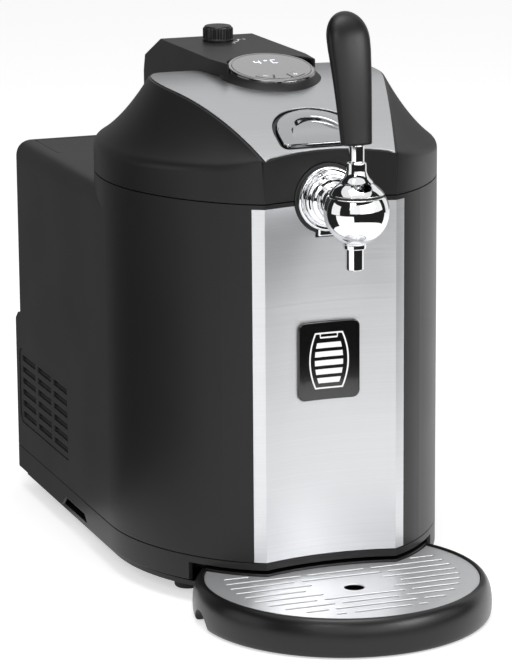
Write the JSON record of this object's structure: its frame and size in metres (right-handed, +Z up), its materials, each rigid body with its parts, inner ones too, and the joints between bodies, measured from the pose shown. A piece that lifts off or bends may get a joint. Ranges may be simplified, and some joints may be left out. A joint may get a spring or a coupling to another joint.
{
  "type": "mini keg beer dispenser",
  "caption": "Countertop dispenser for a small party keg: oval black body with a brushed steel front, hinged arched lid, chrome ball tap with a black handle, and a pull-out drip tray.",
  "frame": {"origin": "on the surface that the feet stand on, at the middle of the width and of the whole depth from tray to rear box", "axes": "+X to the right seen from the front, -Y to the front where the tap is, +Z up"},
  "size_m": [0.276, 0.572, 0.481],
  "materials": {
    "black_plastic": "satin moulded black plastic",
    "dark_plastic": "dark grey moulded plastic",
    "tray_plastic": "satin black plastic",
    "handle_plastic": "smooth matte black plastic",
    "knob_plastic": "ribbed black plastic",
    "rubber": "black rubber",
    "brushed_steel": "horizontally brushed stainless steel",
    "steel": "plain steel",
    "chrome": "polished chrome",
    "aluminium": "plain aluminium",
    "display_plastic": "smoked gloss plastic",
    "badge": "gloss black",
    "board": "green circuit board",
    "ceramic": "white ceramic",
    "foam": "rigid insulating foam",
    "white_plastic": "light grey liner plastic",
    "brass": "plain brass"
  },
  "bodies": {
    "housing": {"base_pan": "black_plastic", "base_skirt": "black_plastic", "rubber_feet": "rubber", "base_screws": "steel", "housing_shell": "black_plastic", "rear_top_cover": "black_plastic", "side_grille_left": "dark_plastic", "side_grille_right": "dark_plastic", "rear_cover": "dark_plastic", "cover_screws": "steel", "power_inlet": "dark_plastic", "front_panel": "brushed_steel", "badge_plate": "badge", "chamber_liner": "aluminium", "chamber_insulation": "foam", "chamber_collar": "dark_plastic", "cold_block": "aluminium", "peltier_module": "ceramic", "heat_sink": "aluminium", "fan_housing": "dark_plastic", "power_supply": "aluminium", "control_board": "board", "hinge_brackets": "dark_plastic", "hinge_pin": "chrome", "tap_mount": "dark_plastic", "tap_flange": "chrome", "tap_shank": "chrome", "tap_body": "chrome", "tap_cap": "chrome", "tap_nozzle": "chrome"},
    "lid": {"lid_shell": "black_plastic", "lid_plate": "brushed_steel", "lid_liner": "white_plastic", "lid_gasket": "rubber", "hinge_arm": "dark_plastic", "bridge_cover": "black_plastic", "bridge_floor": "dark_plastic", "display_ring": "display_plastic", "display_glass": "display_plastic", "gas_regulator": "brass", "gas_cartridge": "steel", "release_well": "dark_plastic"},
    "lever": {"lever_stem": "chrome", "tap_handle": "handle_plastic"},
    "knob": {"regulator_knob": "knob_plastic"},
    "release": {"release_button": "chrome"},
    "latch": {"latch_hook": "steel"},
    "key_minus_body": {"key_minus": "display_plastic"},
    "key_set_body": {"key_set": "display_plastic"},
    "key_plus_body": {"key_plus": "display_plastic"},
    "tray": {"drip_tray": "tray_plastic"},
    "grid": {"drip_plate": "brushed_steel"},
    "fan": {"fan_rotor": "dark_plastic"}
  },
  "joints": [
    {"name": "lid_hinge", "type": "hinge", "parent": "housing", "child": "lid", "pos_m": [0, 0.183, 0.335], "axis": [-1, 0, 0], "range_deg": [0, 85]},
    {"name": "release_press", "type": "slide", "parent": "lid", "child": "release", "axis": [0, 0, -1], "range_m": [0, 0.0025], "stiffness_N_per_m": 800, "springref_m": -0.004},
    {"name": "latch_swing", "type": "hinge", "parent": "lid", "child": "latch", "pos_m": [0, -0.117, 0.35], "axis": [-1, 0, 0], "range_deg": [0, 10]},
    {"name": "lever_pull", "type": "hinge", "parent": "housing", "child": "lever", "pos_m": [0, -0.198, 0.33], "axis": [1, 0, 0], "range_deg": [0, 30]},
    {"name": "knob_turn", "type": "hinge", "parent": "lid", "child": "knob", "pos_m": [0, 0.117, 0.42], "axis": [0, 0, 1], "range_deg": [0, 270]},
    {"name": "key_minus_press", "type": "slide", "parent": "lid", "child": "key_minus_body", "axis": [0, 0.1822, -0.9833], "range_m": [0, 0.0008], "stiffness_N_per_m": 300, "springref_m": -0.001},
    {"name": "key_set_press", "type": "slide", "parent": "lid", "child": "key_set_body", "axis": [0, 0.1822, -0.9833], "range_m": [0, 0.0008], "stiffness_N_per_m": 300, "springref_m": -0.001},
    {"name": "key_plus_press", "type": "slide", "parent": "lid", "child": "key_plus_body", "axis": [0, 0.1822, -0.9833], "range_m": [0, 0.0008], "stiffness_N_per_m": 300, "springref_m": -0.001},
    {"name": "tray_slide", "type": "slide", "parent": "housing", "child": "tray", "axis": [0, -1, 0], "range_m": [0, 0.18]},
    {"name": "plate_lift", "type": "slide", "parent": "tray", "child": "grid", "axis": [0, 0, 1], "range_m": [0, 0.06]},
    {"name": "fan_spin", "type": "hinge", "parent": "housing", "child": "fan", "pos_m": [0, 0.168, 0.225], "axis": [0, 1, 0], "continuous": true}
  ],
  "couplings": [
    {"joint": "latch_swing", "follows": "release_press", "rad_per_m": 69}
  ]
}
